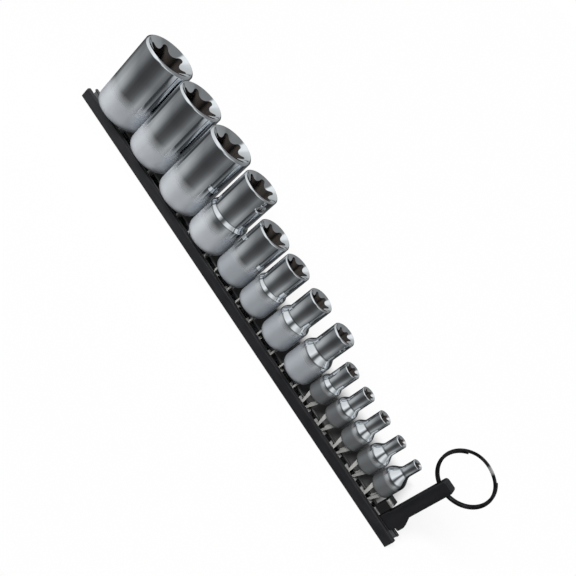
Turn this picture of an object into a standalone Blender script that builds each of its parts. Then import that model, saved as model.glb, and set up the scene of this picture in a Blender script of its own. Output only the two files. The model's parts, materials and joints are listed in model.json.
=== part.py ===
"""Thirteen six-lobe sockets on a slotted rail, with a hanger and a split ring.

The rail lies along X with its flat base on Z = 0 and its middle at the origin.
The largest socket is at the -X end. Sockets stand up along +Z on sprung clips,
each clip a strip of steel bent into a base box and a narrower square post.
"""
import math

import bmesh
import bpy
from mathutils import Matrix, Vector

COLLECTION_NAME = "six_lobe_socket_set"
CUTTER_COLLECTION_NAME = "six_lobe_socket_set_cutters"

MM = 0.001

# Fits between pieces
SEAT_GAP = 0.3 * MM
CUT_OVERRUN = 1.0 * MM
WELD_DISTANCE = 0.001 * MM

# Folds, rounded edges and shading
FOLD_SEGMENTS = 3
BEND_SEGMENTS = 2
EDGE_SEGMENTS = 2
FOLD_ANGLE = math.radians(50.0)
SMOOTH_ANGLE = math.radians(35.0)

# Rail: a folded steel channel with a slot along its top
RAIL_WIDTH = 8.4 * MM
RAIL_HEIGHT = 6.3 * MM
RAIL_WALL = 0.9 * MM
RAIL_BEND_RADIUS = 0.9 * MM
SLOT_WIDTH = 4.2 * MM
RAIL_START_MARGIN = 6.75 * MM
RAIL_END_MARGIN = 3.1 * MM

# Spring clips
COLLAR_HEIGHT = 4.7 * MM
CLIP_BEND_RADIUS = 1.0 * MM
LEDGE_LENGTH = 2.3 * MM
FOOT_LENGTH = 2.6 * MM
POST_SIDE_PLAY = 0.65 * MM
DETENT_BULGE = 0.35 * MM

# Drives: the square, the wall outside its corners, and heights above the base.
# The ball's hole goes through the wall on the +Y or the -Y side.
DRIVES = {
    "half": {
        "square": 12.7 * MM,
        "square_depth": 15.0 * MM,
        "corner_wall": 2.9 * MM,
        "length": 43.9 * MM,
        "barrel_height": 19.4 * MM,
        "post_height": 11.0 * MM,
        "strip": 1.0 * MM,
        "strip_width": 7.6 * MM,
        "hole_diameter": 4.0 * MM,
        "hole_side": 1,
        "steps": 32,
    },
    "three_eighths": {
        "square": 9.53 * MM,
        "square_depth": 11.0 * MM,
        "corner_wall": 2.36 * MM,
        "length": 35.1 * MM,
        "barrel_height": 16.4 * MM,
        "post_height": 8.4 * MM,
        "strip": 0.9 * MM,
        "strip_width": 5.8 * MM,
        "hole_diameter": 3.2 * MM,
        "hole_side": 1,
        "steps": 26,
    },
    "quarter": {
        "square": 6.35 * MM,
        "square_depth": 8.0 * MM,
        "corner_wall": 1.6 * MM,
        "length": 27.5 * MM,
        "barrel_height": 10.9 * MM,
        "post_height": 5.8 * MM,
        "strip": 0.7 * MM,
        "strip_width": 4.0 * MM,
        "hole_diameter": 2.2 * MM,
        "hole_side": -1,
        "steps": 20,
    },
}

# Sockets, largest first: drive, distance across the lobes, wall outside them
SOCKETS = {
    "socket_e24": {"drive": "half", "star": 22.1 * MM, "wall": 3.65 * MM},
    "socket_e22": {"drive": "half", "star": 20.3 * MM, "wall": 3.0 * MM},
    "socket_e20": {"drive": "half", "star": 18.5 * MM, "wall": 3.8 * MM},
    "socket_e18": {"drive": "half", "star": 16.7 * MM, "wall": 2.3 * MM},
    "socket_e16": {"drive": "three_eighths", "star": 14.8 * MM, "wall": 2.3 * MM},
    "socket_e14": {"drive": "three_eighths", "star": 12.9 * MM, "wall": 1.6 * MM},
    "socket_e12": {"drive": "three_eighths", "star": 11.2 * MM, "wall": 1.7 * MM},
    "socket_e10": {"drive": "three_eighths", "star": 9.4 * MM, "wall": 2.05 * MM},
    "socket_e8": {"drive": "quarter", "star": 7.5 * MM, "wall": 1.05 * MM},
    "socket_e7": {"drive": "quarter", "star": 6.2 * MM, "wall": 1.0 * MM},
    "socket_e6": {"drive": "quarter", "star": 5.7 * MM, "wall": 1.05 * MM},
    "socket_e5": {"drive": "quarter", "star": 4.75 * MM, "wall": 1.0 * MM},
    "socket_e4": {"drive": "quarter", "star": 3.9 * MM, "wall": 0.9 * MM},
}

# Gap from each socket to the next, as a share of the usual gap
SOCKET_GAP = 1.04 * MM
GAP_AFTER_SHARES = (0.7, 1.3, 1.2, 0.9, 0.7, 1.5, 1.5, 0.8, 1.3, 1.0, 1.1, 0.7)

# Outer form of a socket
BASE_CHAMFER = 0.8 * MM
TIP_CHAMFER_WALL_SHARE = 0.3
SHOULDER_RISE_SHARE = 2.1
SHOULDER_LAND = 0.6 * MM
SHOULDER_POINTS = 4
BORE_RISE = 1.0 * MM
DRIVE_LEAD_IN = 0.5 * MM

# Six-lobe recess: shares of the distance across its lobes
LOBES = 6
LOBE_RADIUS_SHARE = 0.083
ROOT_SHARE = 0.715
STAR_DEPTH_SHARE = 0.72
STAR_LEAD_IN_SHARE = 0.07
BORE_SHARE = 0.52
ARC_POINTS = 4
BORE_STEPS = 10
HOLE_STEPS = 8

# End stop: a strip folded over like a staple across the rail, feet under its lips
STOP_GAP = 0.4 * MM
STOP_LENGTH = 4.2 * MM
STOP_ACROSS = 6.0 * MM
STOP_HEIGHT_ABOVE_RAIL = 10.3 * MM
STOP_STRIP = 0.7 * MM
STOP_BEND_RADIUS = 0.5 * MM

# Hanger: a moulded bar on a block that grips the rail
HANGER_GAP = 0.5 * MM
BLOCK_LENGTH = 10.4 * MM
BLOCK_HEIGHT = 6.2 * MM
UNDERCUT_LENGTH = 1.9 * MM
UNDERCUT_HEIGHT = 3.4 * MM
GUSSET_LAND = 0.9 * MM
GUSSET_HEIGHT = 6.0 * MM
BAR_WIDTH = 6.9 * MM
BAR_THICKNESS = 5.4 * MM
BAR_HEIGHT = 40.0 * MM
BAR_TIP_RADIUS = 1.5 * MM
BAR_TIP_POINTS = 4
BAR_EDGE_RADIUS = 0.8 * MM
BAR_SETBACK = 0.55 * MM
HANGER_FOOT_LENGTH = 4.8 * MM
FOOT_THICKNESS = 2.2 * MM
EYE_DIAMETER = 3.6 * MM
EYE_TO_TIP = 4.4 * MM
EYE_STEPS = 20

# Split ring: one flat wire wound nearly twice
RING_MEAN_RADIUS = 13.6 * MM
RING_WIRE_WIDTH = 1.6 * MM
RING_WIRE_THICKNESS = 0.8 * MM
RING_COIL_GAP = 0.5 * MM
RING_TILT = math.radians(7.0)
RING_SHIFT = 0.7 * MM
RING_TURN_STEPS = 24
RING_CLIMB_ANGLE = math.radians(60.0)
RING_END_GAP_ANGLE = math.radians(10.0)
RING_STEP_ANGLE = math.radians(6.0)


def clear_scene():
    for old in list(bpy.data.objects):
        bpy.data.objects.remove(old, do_unlink=True)


def make_collection(name, is_cutters=False):
    collection = bpy.data.collections.new(name)
    bpy.context.scene.collection.children.link(collection)
    collection.hide_render = is_cutters
    return collection


def make_material(name, colour, metallic, roughness):
    material = bpy.data.materials.new(name)
    material.use_nodes = True
    shader = material.node_tree.nodes["Principled BSDF"]
    shader.inputs["Base Color"].default_value = (*colour, 1.0)
    shader.inputs["Metallic"].default_value = metallic
    shader.inputs["Roughness"].default_value = roughness
    return material


def add_object(name, mesh, collection, material=None, place=(0.0, 0.0, 0.0), parent=None):
    piece = bpy.data.objects.new(name, mesh)
    collection.objects.link(piece)
    piece.location = place
    piece.parent = parent
    if material is not None:
        mesh.materials.append(material)
    return piece


def mesh_from_bmesh(name, shape):
    bmesh.ops.recalc_face_normals(shape, faces=shape.faces)
    mesh = bpy.data.meshes.new(name)
    shape.to_mesh(mesh)
    shape.free()
    return mesh


def smooth(mesh):
    mesh.shade_smooth()
    mesh.set_sharp_from_angle(angle=SMOOTH_ANGLE)


def make_smoothing():
    """A node group that shades a piece smooth and keeps its steep edges sharp."""
    group = bpy.data.node_groups.new("smooth_by_angle", "GeometryNodeTree")
    group.interface.new_socket("Mesh", in_out="INPUT", socket_type="NodeSocketGeometry")
    group.interface.new_socket("Mesh", in_out="OUTPUT", socket_type="NodeSocketGeometry")
    start = group.nodes.new("NodeGroupInput")
    faces = group.nodes.new("GeometryNodeSetShadeSmooth")
    edges = group.nodes.new("GeometryNodeSetShadeSmooth")
    edges.domain = "EDGE"
    edges.inputs["Shade Smooth"].default_value = False
    angle = group.nodes.new("GeometryNodeInputMeshEdgeAngle")
    steep = group.nodes.new("FunctionNodeCompare")
    steep.inputs["B"].default_value = SMOOTH_ANGLE
    end = group.nodes.new("NodeGroupOutput")
    group.links.new(start.outputs[0], faces.inputs["Geometry"])
    group.links.new(faces.outputs[0], edges.inputs["Geometry"])
    group.links.new(angle.outputs["Unsigned Angle"], steep.inputs["A"])
    group.links.new(steep.outputs["Result"], edges.inputs["Selection"])
    group.links.new(edges.outputs[0], end.inputs[0])
    return group


def shade(piece):
    """Shade a modified piece smooth by a last modifier."""
    modifier = piece.modifiers.new("shading", "NODES")
    modifier.node_group = bpy.data.node_groups["smooth_by_angle"]


def curve_to_mesh(curve, matrix=None):
    """Evaluate a curve, weld its caps and give back a closed mesh."""
    holder = bpy.data.objects.new(curve.name, curve)
    bpy.context.scene.collection.objects.link(holder)
    if matrix is not None:
        holder.matrix_world = matrix
    bpy.context.view_layer.update()
    evaluated = holder.evaluated_get(bpy.context.evaluated_depsgraph_get())
    mesh = bpy.data.meshes.new_from_object(evaluated)
    mesh.transform(holder.matrix_world)
    bpy.data.objects.remove(holder, do_unlink=True)
    shape = bmesh.new()
    shape.from_mesh(mesh)
    bpy.data.meshes.remove(mesh)
    bmesh.ops.remove_doubles(shape, verts=shape.verts, dist=WELD_DISTANCE)
    return mesh_from_bmesh(curve.name, shape)


def flat_solid(name, outline, half_thickness, matrix=None):
    """Extrude a closed outline both ways along its own Z."""
    curve = bpy.data.curves.new(name, "CURVE")
    curve.dimensions = "2D"
    curve.fill_mode = "BOTH"
    curve.extrude = half_thickness
    spline = curve.splines.new("POLY")
    spline.points.add(len(outline) - 1)
    for point, (across, up) in zip(spline.points, outline):
        point.co = (across, up, 0.0, 1.0)
    spline.use_cyclic_u = True
    return curve_to_mesh(curve, matrix)


def cylinder_mesh(name, radius, depth, steps, matrix, top_radius=None):
    shape = bmesh.new()
    bmesh.ops.create_cone(
        shape,
        cap_ends=True,
        segments=steps,
        radius1=radius,
        radius2=radius if top_radius is None else top_radius,
        depth=depth,
        matrix=matrix,
    )
    return mesh_from_bmesh(name, shape)


def cut(piece, name, mesh, cutters):
    """Take a cutter, which follows the piece, out of it."""
    tool = add_object(f"{piece.name}_{name}_cutter", mesh, cutters, parent=piece)
    tool.hide_render = True
    tool.display_type = "WIRE"
    modifier = piece.modifiers.new(name, "BOOLEAN")
    modifier.operation = "DIFFERENCE"
    modifier.solver = "EXACT"
    modifier.object = tool
    return tool


def arc(centre, radius, start, end, count):
    """Points on an arc, both ends included."""
    points = []
    for index in range(count):
        angle = start + (end - start) * index / (count - 1)
        points.append((centre[0] + radius * math.cos(angle),
                       centre[1] + radius * math.sin(angle)))
    return points


def star_outline(across):
    """Six round lobes joined by six round teeth that are tangent to them."""
    half_pitch = math.pi / LOBES
    lobe_radius = across * LOBE_RADIUS_SHARE
    lobe_centre = across / 2 - lobe_radius
    root = across * ROOT_SHARE / 2
    # The tooth's centre lies on its own ray, a root and a tooth radius out
    top = lobe_centre ** 2 + root ** 2 - 2 * lobe_centre * root * math.cos(half_pitch)
    bottom = 2 * (lobe_centre * math.cos(half_pitch) - root + lobe_radius)
    tooth_radius = (top - lobe_radius ** 2) / bottom
    tooth_centre = root + tooth_radius
    tooth_at = (tooth_centre * math.cos(half_pitch), tooth_centre * math.sin(half_pitch))
    contact = math.atan2(tooth_at[1], tooth_at[0] - lobe_centre)
    lobe = arc((lobe_centre, 0.0), lobe_radius, -contact, contact, ARC_POINTS)
    tooth_start = contact - math.pi
    tooth_end = 2 * half_pitch - tooth_start - 2 * math.pi
    tooth = arc(tooth_at, tooth_radius, tooth_start, tooth_end, ARC_POINTS)
    outline = []
    for number in range(LOBES):
        turn = Matrix.Rotation(2 * half_pitch * number, 2)
        for point in lobe + tooth[1:-1]:
            outline.append(tuple(turn @ Vector(point)))
    return outline


def square_outline(side):
    half = side / 2
    return [(-half, -half), (half, -half), (half, half), (-half, half)]


def socket_sizes(name):
    """All sizes of a socket that follow from its drive, star and wall."""
    own = SOCKETS[name]
    drive = DRIVES[own["drive"]]
    tip_radius = own["star"] / 2 + own["wall"]
    drive_radius = drive["square"] * math.sqrt(2) / 2 + drive["corner_wall"]
    return {
        "drive": drive,
        "star": own["star"],
        "wall": own["wall"],
        "tip_radius": tip_radius,
        "barrel_radius": max(tip_radius, drive_radius),
        "length": drive["length"],
    }


def socket_profile(sizes):
    """Half section from the tip's middle down the outside to the base's middle."""
    tip = sizes["tip_radius"]
    barrel = sizes["barrel_radius"]
    length = sizes["length"]
    chamfer = sizes["wall"] * TIP_CHAMFER_WALL_SHARE
    profile = [(0.0, length), (tip - chamfer, length), (tip, length - chamfer)]
    step = barrel - tip
    if step > 0.0:
        low = sizes["drive"]["barrel_height"]
        high = low + step * SHOULDER_RISE_SHARE + SHOULDER_LAND
        for index in range(SHOULDER_POINTS + 1):
            share = index / SHOULDER_POINTS
            ease = (1 - math.cos(math.pi * share)) / 2
            profile.append((tip + step * ease, high + (low - high) * share))
    profile.append((barrel, BASE_CHAMFER))
    profile.append((barrel - BASE_CHAMFER, 0.0))
    profile.append((0.0, 0.0))
    return profile


def lathe(name, profile, steps, collection, material, place):
    """A closed turned solid: the profile runs down its outer side."""
    mesh = bpy.data.meshes.new(name)
    points = [(radius, 0.0, height) for radius, height in profile]
    edges = [(index, index + 1) for index in range(len(points) - 1)]
    mesh.from_pydata(points, edges, [])
    piece = add_object(name, mesh, collection, material, place)
    screw = piece.modifiers.new("turn", "SCREW")
    screw.axis = "Z"
    screw.angle = 2 * math.pi
    screw.steps = steps
    screw.render_steps = steps
    screw.use_merge_vertices = True
    screw.merge_threshold = WELD_DISTANCE
    screw.use_smooth_shade = False
    return piece


def make_socket(name, place, parts, cutters, material):
    sizes = socket_sizes(name)
    drive = sizes["drive"]
    length = sizes["length"]
    star = sizes["star"]
    piece = lathe(name, socket_profile(sizes), drive["steps"], parts, material, place)

    depth = min(star * STAR_DEPTH_SHARE, length - drive["square_depth"] - BORE_RISE)
    half = (depth + CUT_OVERRUN) / 2
    at = Matrix.Translation((0.0, 0.0, length - depth + half))
    cut(piece, "star", flat_solid("star", star_outline(star), half, at), cutters)

    lead = star * STAR_LEAD_IN_SHARE
    low_radius = star / 2 - lead
    high_radius = star / 2 + CUT_OVERRUN
    lead_height = lead + CUT_OVERRUN
    at = Matrix.Translation((0.0, 0.0, length - lead + lead_height / 2))
    cone = cylinder_mesh("lead_in", low_radius, lead_height, drive["steps"], at, high_radius)
    cut(piece, "lead_in", cone, cutters)

    bore_height = length - depth - drive["square_depth"] + 2 * CUT_OVERRUN
    at = Matrix.Translation((0.0, 0.0, drive["square_depth"] - CUT_OVERRUN + bore_height / 2))
    bore_radius = min(star, drive["square"]) * BORE_SHARE / 2
    cut(piece, "bore", cylinder_mesh("bore", bore_radius, bore_height, BORE_STEPS, at), cutters)

    half = (drive["square_depth"] + CUT_OVERRUN) / 2
    at = Matrix.Translation((0.0, 0.0, half - CUT_OVERRUN))
    square = flat_solid("drive", square_outline(drive["square"]), half, at)
    cut(piece, "drive", square, cutters)

    mouth = drive["square"] / math.sqrt(2)
    lead_height = DRIVE_LEAD_IN + CUT_OVERRUN
    at = Matrix.Translation((0.0, 0.0, DRIVE_LEAD_IN - lead_height / 2))
    cone = cylinder_mesh("mouth", mouth + CUT_OVERRUN, lead_height, drive["steps"], at,
                         mouth - DRIVE_LEAD_IN)
    cut(piece, "mouth", cone, cutters)

    # The hole that a driver's ball snaps into goes through one side of the wall
    reach = sizes["barrel_radius"] + CUT_OVERRUN
    turn = Matrix.Rotation(math.pi / 2, 4, "X")
    middle = (0.0, drive["hole_side"] * reach / 2, drive["post_height"] / 2)
    at = Matrix.Translation(middle) @ turn
    hole = cylinder_mesh("hole", drive["hole_diameter"] / 2, reach, HOLE_STEPS, at)
    cut(piece, "hole", hole, cutters)
    shade(piece)
    return piece


def bent_strip(name, stations, thickness, bend_radius, parts, material, place):
    """A strip of steel: each station gives its middle (x, z) and its width."""
    shape = bmesh.new()
    rows = []
    for across, up, width in stations:
        rows.append([shape.verts.new((across, side * width / 2, up)) for side in (-1, 1)])
    for first, second in zip(rows, rows[1:]):
        shape.faces.new((first[0], first[1], second[1], second[0]))
    mesh = mesh_from_bmesh(name, shape)
    piece = add_object(name, mesh, parts, material, place)
    bevel = piece.modifiers.new("bends", "BEVEL")
    bevel.width = bend_radius
    bevel.segments = BEND_SEGMENTS
    bevel.limit_method = "ANGLE"
    bevel.angle_limit = FOLD_ANGLE
    solidify = piece.modifiers.new("thickness", "SOLIDIFY")
    solidify.thickness = thickness
    solidify.offset = 0.0
    solidify.use_even_offset = True
    shade(piece)
    return piece


def mirrored(stations):
    """A left half and its mirror image, from one foot over the top to the other."""
    return stations + [(-across, up, width) for across, up, width in reversed(stations)]


def foot_level(thickness):
    """The middle height of a foot that sits just under the rail's lips."""
    return RAIL_HEIGHT - RAIL_WALL - SEAT_GAP - thickness / 2


def foot_width():
    return RAIL_WIDTH - 2 * RAIL_WALL - 2 * SEAT_GAP


def neck_width():
    return SLOT_WIDTH - 2 * SEAT_GAP


def make_clip(name, drive, place, parts, material):
    strip = drive["strip"]
    neck = neck_width()
    post = drive["square"] / 2 - POST_SIDE_PLAY - strip / 2
    base = post + LEDGE_LENGTH
    foot = foot_level(strip)
    ledge = RAIL_HEIGHT + COLLAR_HEIGHT - SEAT_GAP - strip / 2
    above_rail = RAIL_HEIGHT + SEAT_GAP
    top = RAIL_HEIGHT + COLLAR_HEIGHT + drive["post_height"] - strip / 2
    detent = (ledge + top) / 2
    bulge = post + DETENT_BULGE
    width = drive["strip_width"]
    foot_end = base - CLIP_BEND_RADIUS - strip / 2
    half = [
        (-(base - FOOT_LENGTH), foot, foot_width()),
        (-foot_end, foot, foot_width()),
        (-(foot_end + SEAT_GAP), foot, neck),
        (-base, foot, neck),
        (-base, above_rail, neck),
        (-base, above_rail + strip, max(width, neck)),
        (-base, ledge, max(width, neck)),
        (-post, ledge, width),
        (-post, detent - strip, width),
        (-bulge, detent, width),
        (-post, detent + strip, width),
        (-post, top, width),
    ]
    return bent_strip(name, mirrored(half), strip, CLIP_BEND_RADIUS, parts, material, place)


def make_stop(name, place, parts, material):
    """A staple across the rail: feet under its lips, a neck in its slot, a box above."""
    foot = foot_level(STOP_STRIP)
    ledge = RAIL_HEIGHT + SEAT_GAP + STOP_STRIP / 2
    top = RAIL_HEIGHT + STOP_HEIGHT_ABOVE_RAIL - STOP_STRIP / 2
    neck = (neck_width() - STOP_STRIP) / 2
    side = (STOP_ACROSS - STOP_STRIP) / 2
    half = [
        (-foot_width() / 2, foot, STOP_LENGTH),
        (-neck, foot, STOP_LENGTH),
        (-neck, ledge, STOP_LENGTH),
        (-side, ledge, STOP_LENGTH),
        (-side, top, STOP_LENGTH),
    ]
    piece = bent_strip(name, mirrored(half), STOP_STRIP, STOP_BEND_RADIUS, parts, material, place)
    piece.data.transform(Matrix.Rotation(math.pi / 2, 4, "Z"))
    return piece


def make_rail(name, start, end, parts, material):
    """An open sheet folded round the channel, then thickened inwards."""
    half = RAIL_WIDTH / 2
    section = [(-SLOT_WIDTH / 2, RAIL_HEIGHT), (-half, RAIL_HEIGHT), (-half, 0.0),
               (half, 0.0), (half, RAIL_HEIGHT), (SLOT_WIDTH / 2, RAIL_HEIGHT)]
    shape = bmesh.new()
    rows = []
    for across, up in section:
        rows.append([shape.verts.new((along, across, up)) for along in (start, end)])
    for first, second in zip(rows, rows[1:]):
        shape.faces.new((first[0], first[1], second[1], second[0]))
    mesh = mesh_from_bmesh(name, shape)
    piece = add_object(name, mesh, parts, material)
    bevel = piece.modifiers.new("folds", "BEVEL")
    bevel.width = RAIL_BEND_RADIUS
    bevel.segments = FOLD_SEGMENTS
    bevel.limit_method = "ANGLE"
    bevel.angle_limit = FOLD_ANGLE
    solidify = piece.modifiers.new("wall", "SOLIDIFY")
    solidify.thickness = RAIL_WALL
    solidify.use_even_offset = True
    solidify.offset = -1.0
    shade(piece)
    return piece


def bar_outline():
    """The hanger seen from the front: undercut block, gusset, bar and rounded tip."""
    half_block = BLOCK_LENGTH / 2
    low = RAIL_HEIGHT + SEAT_GAP
    block_top = low + BLOCK_HEIGHT
    tip = RAIL_HEIGHT + BAR_HEIGHT
    left = -half_block + BAR_SETBACK
    right = left + BAR_WIDTH
    tip_low = tip - BAR_TIP_RADIUS
    outline = [(-half_block, low), (half_block - UNDERCUT_LENGTH, low),
               (half_block - UNDERCUT_LENGTH, low + UNDERCUT_HEIGHT),
               (half_block, low + UNDERCUT_HEIGHT), (half_block, block_top + GUSSET_LAND),
               (right, block_top + GUSSET_HEIGHT)]
    outline += arc((right - BAR_TIP_RADIUS, tip_low), BAR_TIP_RADIUS, 0.0, math.pi / 2,
                   BAR_TIP_POINTS)
    outline += arc((left + BAR_TIP_RADIUS, tip_low), BAR_TIP_RADIUS, math.pi / 2, math.pi,
                   BAR_TIP_POINTS)
    outline += [(left, block_top), (-half_block, block_top - BAR_SETBACK)]
    return outline


def make_hanger(name, place, parts, cutters, material):
    upright = Matrix.Rotation(math.pi / 2, 4, "X")
    mesh = flat_solid(name, bar_outline(), BAR_THICKNESS / 2, upright)
    piece = add_object(name, mesh, parts, material, place)
    bevel = piece.modifiers.new("edges", "BEVEL")
    bevel.width = BAR_EDGE_RADIUS
    bevel.segments = EDGE_SEGMENTS
    bevel.limit_method = "ANGLE"
    bevel.angle_limit = FOLD_ANGLE

    # Neck and foot: a T section that runs along the rail
    neck = neck_width() / 2
    foot = foot_width() / 2
    foot_top = RAIL_HEIGHT - RAIL_WALL - SEAT_GAP
    foot_low = foot_top - FOOT_THICKNESS
    neck_top = RAIL_HEIGHT + SEAT_GAP + BLOCK_HEIGHT / 2
    section = [(-foot, foot_low), (foot, foot_low), (foot, foot_top), (neck, foot_top),
               (neck, neck_top), (-neck, neck_top), (-neck, foot_top), (-foot, foot_top)]
    along = Matrix(((0.0, 0.0, 1.0, 0.0), (1.0, 0.0, 0.0, 0.0),
                    (0.0, 1.0, 0.0, 0.0), (0.0, 0.0, 0.0, 1.0)))
    tongue_mesh = flat_solid("tongue", section, HANGER_FOOT_LENGTH / 2, along)
    tongue = add_object(f"{name}_tongue", tongue_mesh, cutters, parent=piece)
    tongue.hide_render = True
    tongue.display_type = "WIRE"
    join = piece.modifiers.new("tongue", "BOOLEAN")
    join.operation = "UNION"
    join.solver = "EXACT"
    join.object = tongue

    turn = Matrix.Rotation(math.pi / 2, 4, "Y")
    at = Matrix.Translation((0.0, 0.0, eye_height())) @ turn
    eye = cylinder_mesh("eye", EYE_DIAMETER / 2, BLOCK_LENGTH + CUT_OVERRUN, EYE_STEPS, at)
    cut(piece, "eye", eye, cutters)
    shade(piece)
    return piece


def eye_height():
    return RAIL_HEIGHT + BAR_HEIGHT - EYE_TO_TIP


def bar_middle():
    """The bar's middle, measured along X from the middle of the block."""
    return -BLOCK_LENGTH / 2 + BAR_SETBACK + BAR_WIDTH / 2


def ring_points():
    """A nearly double loop: flat, a climb to the next layer, flat again.

    Angle zero is the lowest point, in the eye. Layers lie a wire apart along
    the ring's own axis. The climb is where the two ends meet it.
    """
    layer = (RING_WIRE_THICKNESS + RING_COIL_GAP) / 2
    climb_middle = math.pi + RING_STEP_ANGLE
    first = climb_middle + RING_CLIMB_ANGLE / 2 + RING_END_GAP_ANGLE - 2 * math.pi
    last = climb_middle - RING_CLIMB_ANGLE / 2 - RING_END_GAP_ANGLE + 2 * math.pi
    count = round(RING_TURN_STEPS * (last - first) / (2 * math.pi))
    points = []
    for index in range(count + 1):
        angle = first + (last - first) * index / count
        share = (angle - climb_middle) / RING_CLIMB_ANGLE + 0.5
        share = min(max(share, 0.0), 1.0)
        ease = share * share * (3 - 2 * share)
        height = layer * (2 * ease - 1)
        points.append(Vector((RING_MEAN_RADIUS * math.sin(angle), height,
                              -RING_MEAN_RADIUS * math.cos(angle))))
    return points


def least_coil_gap(points):
    """Least gap between turns, from the middles of the wire to its faces."""
    apart = RING_TURN_STEPS // 3
    least = math.inf
    for index, first in enumerate(points):
        for second in points[index + apart:]:
            between = second - first
            axial = abs(between.y) - RING_WIRE_THICKNESS
            radial = math.hypot(between.x, between.z) - RING_WIRE_WIDTH
            least = min(least, max(axial, radial))
    return least


def ring_seat():
    """How far the wire's middle lies below the swing axis, halfway in the eye."""
    reach = BAR_WIDTH / 2 + RING_SHIFT
    sag = RING_MEAN_RADIUS - math.sqrt(RING_MEAN_RADIUS ** 2 - reach ** 2)
    return sag / 2


def make_ring(name, place, parts, material):
    """A round wire wound in a stretched frame, then flattened along its axis."""
    points = ring_points()
    print(f"split ring: least gap between turns {least_coil_gap(points) / MM:.2f} mm")
    flat = RING_WIRE_THICKNESS / RING_WIRE_WIDTH
    curve = bpy.data.curves.new(name, "CURVE")
    curve.dimensions = "3D"
    curve.bevel_depth = RING_WIRE_WIDTH / 2
    curve.bevel_resolution = 1
    curve.use_fill_caps = True
    spline = curve.splines.new("POLY")
    spline.points.add(len(points) - 1)
    for point, spot in zip(spline.points, points):
        point.co = (spot.x, spot.y / flat, spot.z, 1.0)
    squeeze = Matrix.Diagonal((1.0, flat, 1.0, 1.0))
    raised = Matrix.Translation((RING_SHIFT, 0.0, RING_MEAN_RADIUS - ring_seat()))
    tilt = Matrix.Rotation(RING_TILT, 4, "X")
    mesh = curve_to_mesh(curve, tilt @ raised @ squeeze)
    smooth(mesh)
    return add_object(name, mesh, parts, material, place)


def socket_places():
    """Where each socket's axis stands along the rail, and the rail's two ends."""
    names = list(SOCKETS)
    radii = [socket_sizes(name)["barrel_radius"] for name in names]
    places = [0.0]
    for index, share in enumerate(GAP_AFTER_SHARES):
        step = radii[index] + SOCKET_GAP * share + radii[index + 1]
        places.append(places[-1] + step)
    stop = places[-1] + radii[-1] + STOP_GAP + STOP_LENGTH / 2
    hanger = stop + STOP_LENGTH / 2 + HANGER_GAP + BLOCK_LENGTH / 2
    start = -radii[0] - RAIL_START_MARGIN
    end = hanger + BLOCK_LENGTH / 2 + RAIL_END_MARGIN
    middle = (start + end) / 2
    return {
        "sockets": {name: place - middle for name, place in zip(names, places)},
        "stop": stop - middle,
        "hanger": hanger - middle,
        "start": start - middle,
        "end": end - middle,
    }


def main():
    clear_scene()
    make_smoothing()
    parts = make_collection(COLLECTION_NAME)
    cutters = make_collection(CUTTER_COLLECTION_NAME, is_cutters=True)
    chrome = ("chrome", (0.75, 0.77, 0.79), 1.0, 0.14)
    spring_steel = ("spring_steel", (0.58, 0.58, 0.57), 1.0, 0.34)
    places = socket_places()
    socket_base = RAIL_HEIGHT + COLLAR_HEIGHT

    rail_paint = make_material("rail_paint", (0.028, 0.028, 0.03), 0.0, 0.42)
    make_rail("rail", places["start"], places["end"], parts, rail_paint)
    for name, along in places["sockets"].items():
        drive = DRIVES[SOCKETS[name]["drive"]]
        clip = name.replace("socket", "clip")
        steel = make_material(f"{clip}_{spring_steel[0]}", *spring_steel[1:])
        plating = make_material(f"{name}_{chrome[0]}", *chrome[1:])
        make_clip(clip, drive, (along, 0.0, 0.0), parts, steel)
        make_socket(name, (along, 0.0, socket_base), parts, cutters, plating)

    stop_steel = make_material("stop_steel", *spring_steel[1:])
    make_stop("stop_clip", (places["stop"], 0.0, 0.0), parts, stop_steel)
    hanger_plastic = make_material("hanger_plastic", (0.02, 0.02, 0.022), 0.0, 0.45)
    make_hanger("hanger", (places["hanger"], 0.0, 0.0), parts, cutters, hanger_plastic)
    eye = (places["hanger"] + bar_middle(), 0.0, eye_height())
    ring_steel = make_material("ring_steel", (0.35, 0.35, 0.36), 1.0, 0.25)
    make_ring("split_ring", eye, parts, ring_steel)
    bpy.context.view_layer.update()


main()
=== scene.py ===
"""The looks of a six-lobe socket set on its rail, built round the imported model.

Lengths are in metres, in the model's own frame: X runs along the rail and Z up.
Every shape here stands for one node of the model and fills the same space.
"""

import json
import math

import bmesh
import bpy
from mathutils import Matrix, Vector


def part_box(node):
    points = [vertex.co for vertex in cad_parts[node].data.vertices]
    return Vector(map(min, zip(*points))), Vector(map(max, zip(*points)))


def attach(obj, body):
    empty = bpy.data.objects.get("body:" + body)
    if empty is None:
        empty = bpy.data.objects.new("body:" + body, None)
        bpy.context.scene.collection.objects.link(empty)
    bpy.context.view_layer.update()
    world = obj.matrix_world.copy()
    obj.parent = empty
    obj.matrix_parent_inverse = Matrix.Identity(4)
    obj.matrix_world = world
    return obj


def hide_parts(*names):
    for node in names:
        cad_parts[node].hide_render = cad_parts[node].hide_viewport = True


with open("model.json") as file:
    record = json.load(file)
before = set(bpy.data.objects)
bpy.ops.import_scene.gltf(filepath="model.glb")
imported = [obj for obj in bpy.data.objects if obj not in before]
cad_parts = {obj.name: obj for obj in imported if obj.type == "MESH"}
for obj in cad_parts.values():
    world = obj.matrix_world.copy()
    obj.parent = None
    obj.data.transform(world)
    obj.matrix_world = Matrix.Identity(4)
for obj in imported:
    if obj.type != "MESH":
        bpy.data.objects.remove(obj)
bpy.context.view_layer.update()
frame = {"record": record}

MM = 0.001

# Fits and small edges
SEAT_GAP = 0.3 * MM
CUT_OVERRUN = 1.0 * MM
FINE_EDGE = 0.1 * MM
FINE_STEPS = 2
SMOOTH_ANGLE = math.radians(32.0)
FOLD_ANGLE = math.radians(50.0)
EDGE_ANGLE = math.radians(70.0)

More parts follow.
